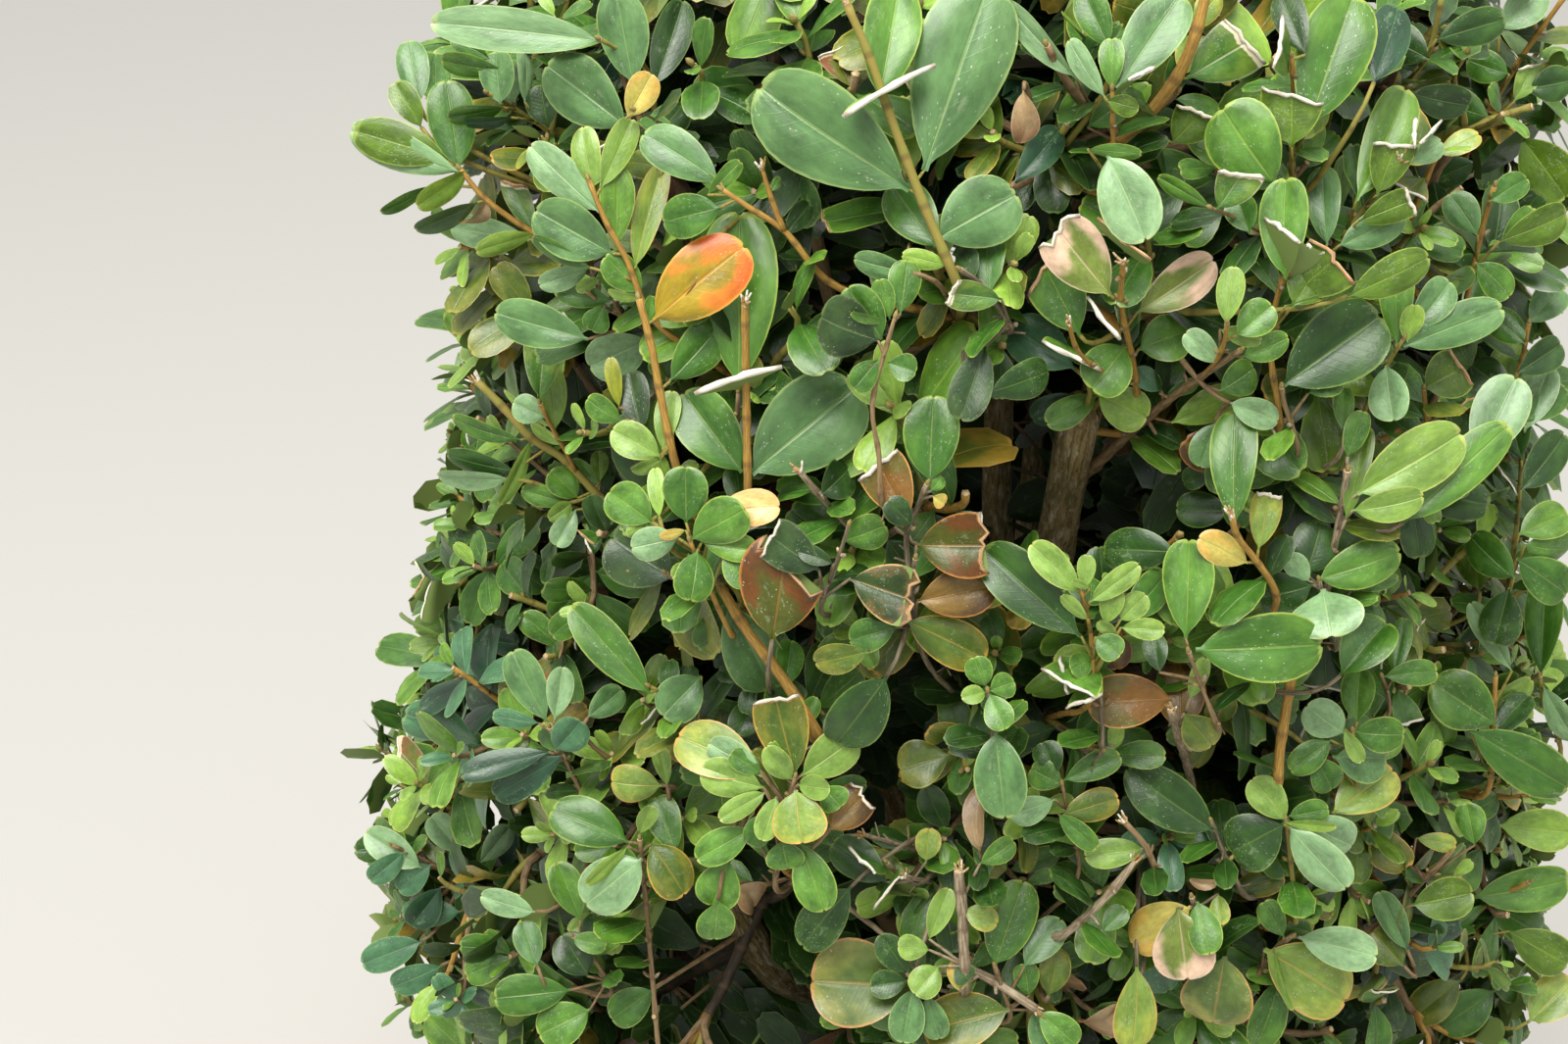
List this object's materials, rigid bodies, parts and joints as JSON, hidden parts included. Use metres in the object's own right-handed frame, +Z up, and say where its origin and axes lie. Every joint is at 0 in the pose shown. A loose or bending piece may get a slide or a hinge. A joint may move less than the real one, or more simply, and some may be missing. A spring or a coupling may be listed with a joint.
{
  "type": "clipped box bush in a pot",
  "caption": "Shaggy clipped box bush, rounded and a little taller than wide, on a short stem in a rimmed plastic pot filled with soil.",
  "frame": {"origin": "middle of the pot's flat underside", "axes": "+Z up along the plant, -Y towards the side that the picture shows, +X to that side's right"},
  "size_m": [0.3816, 0.3675, 0.6493],
  "materials": {
    "pot": "terracotta-coloured moulded plastic, slightly satin, dusty",
    "soil": "loose peaty potting mix with bark crumbs, matte",
    "bark": "ridged grey-tan bark on old wood, smoother ochre on young twigs",
    "leaves": "small leathery leaves, glossy above, matte and paler below"
  },
  "bodies": {
    "root": {"pot": "pot", "soil": "soil", "trunk": "bark", "bough_front_hollow": "bark", "bough_low_hollow": "bark", "bough_top": "bark", "bough_upper_front_left": "bark", "bough_upper_front_right": "bark", "bough_upper_back_right": "bark", "bough_upper_back_left": "bark", "bough_middle_front": "bark", "bough_middle_right": "bark", "bough_middle_back": "bark", "bough_middle_left_back": "bark", "bough_middle_front_left": "bark", "bough_lower_front": "bark", "bough_lower_right": "bark", "bough_lower_back": "bark", "bough_lower_left": "bark", "foliage_top": "leaves", "foliage_upper_front_left": "leaves", "foliage_upper_front_right": "leaves", "foliage_upper_back_right": "leaves", "foliage_upper_back_left": "leaves", "foliage_middle_front": "leaves", "foliage_middle_right": "leaves", "foliage_middle_back": "leaves", "foliage_middle_left_back": "leaves", "foliage_middle_front_left": "leaves", "foliage_lower_front": "leaves", "foliage_lower_right": "leaves", "foliage_lower_back": "leaves", "foliage_lower_left": "leaves"}
  },
  "joints": []
}
